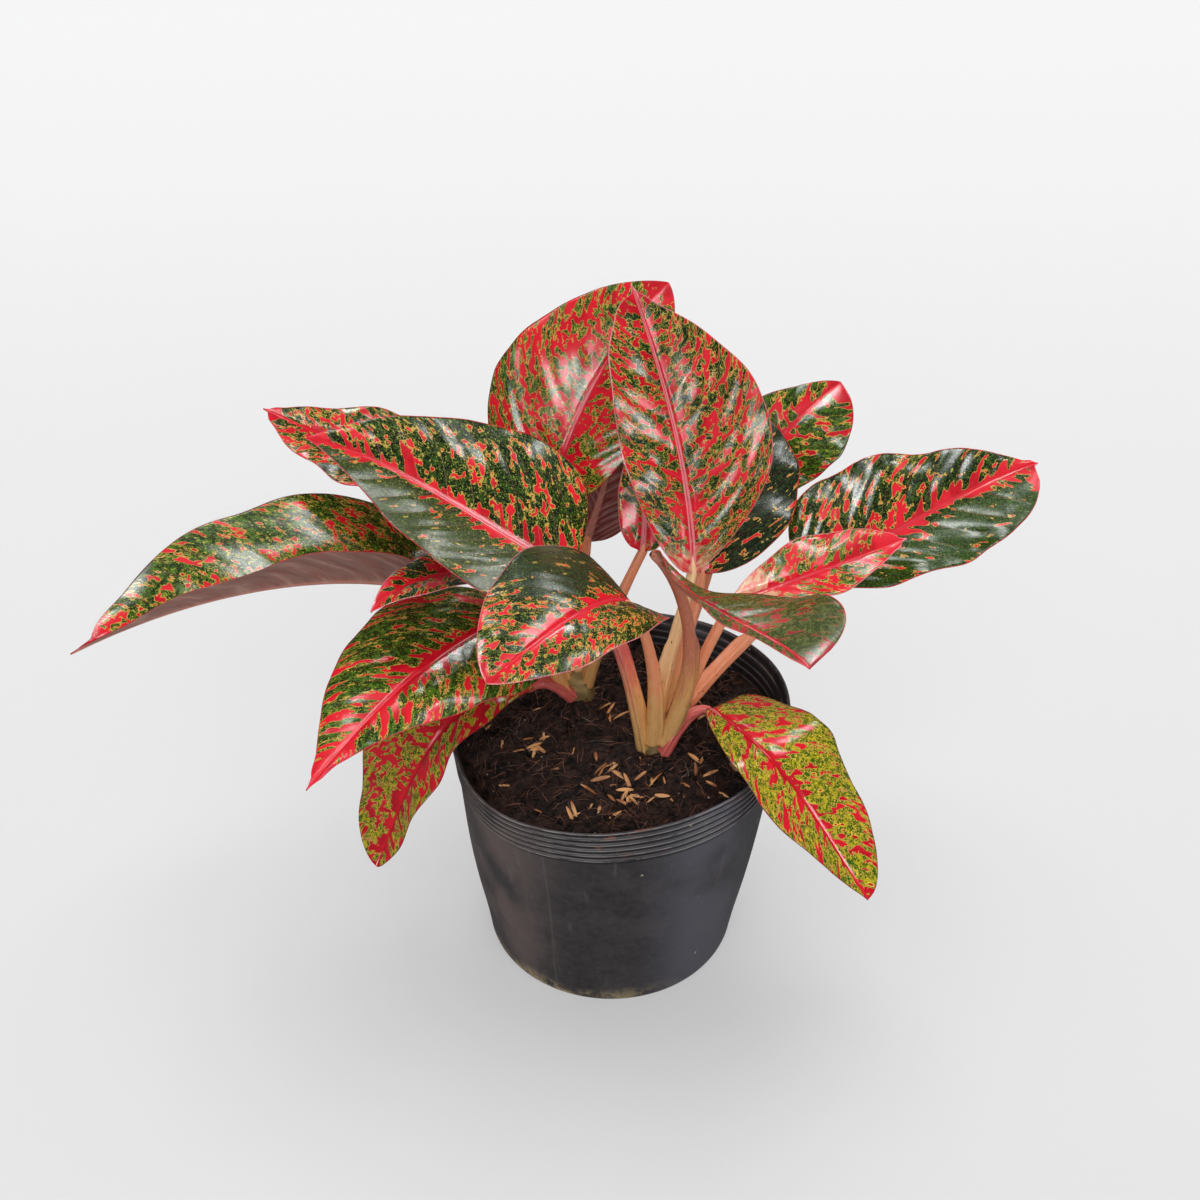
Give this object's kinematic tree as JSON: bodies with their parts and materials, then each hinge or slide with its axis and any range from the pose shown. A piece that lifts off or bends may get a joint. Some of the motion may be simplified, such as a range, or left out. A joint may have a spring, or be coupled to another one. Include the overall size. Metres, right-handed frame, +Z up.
{
  "type": "potted chinese evergreen plant",
  "caption": "Potted Chinese evergreen: a clump of arching red and green speckled leaves on pink stalks, in soil in a tapered black nursery pot.",
  "frame": {"origin": "centre of the pot's flat underside", "axes": "+Z up, +X to the right and +Y away from the front, seen as in the picture"},
  "size_m": [0.4916, 0.2436, 0.3662],
  "materials": {
    "pot_plastic": "thin soft black plastic, dusty satin",
    "soil": "dark fibrous potting mix, matte",
    "crown": "green-tan fleshy stem with small brown specks",
    "stalk": "smooth fleshy stalk, pink to tan, satin",
    "blade": "waxy leaf, red with green and yellow-green speckles, glossy"
  },
  "bodies": {
    "root": {"pot": "pot_plastic", "soil": "soil", "crown_main": "crown", "crown_rear": "crown", "stalk_far_left": "stalk", "stalk_left_upper": "stalk", "stalk_left_rear": "stalk", "stalk_rear_centre": "stalk", "stalk_upright": "stalk", "stalk_right_dark": "stalk", "stalk_rear_right": "stalk", "stalk_right_large": "stalk", "stalk_right_small": "stalk", "stalk_right_twisted": "stalk", "stalk_centre_young": "stalk", "stalk_rear_young": "stalk", "stalk_front_centre": "stalk", "stalk_left_front": "stalk", "stalk_left_small": "stalk", "stalk_left_drooping": "stalk", "stalk_right_drooping": "stalk", "blade_far_left": "blade", "blade_left_upper": "blade", "blade_left_rear": "blade", "blade_rear_centre": "blade", "blade_upright": "blade", "blade_right_dark": "blade", "blade_rear_right": "blade", "blade_right_large": "blade", "blade_right_small": "blade", "blade_right_twisted": "blade", "blade_centre_young": "blade", "blade_rear_young": "blade", "blade_front_centre": "blade", "blade_left_front": "blade", "blade_left_small": "blade", "blade_left_drooping": "blade", "blade_right_drooping": "blade"}
  },
  "joints": []
}
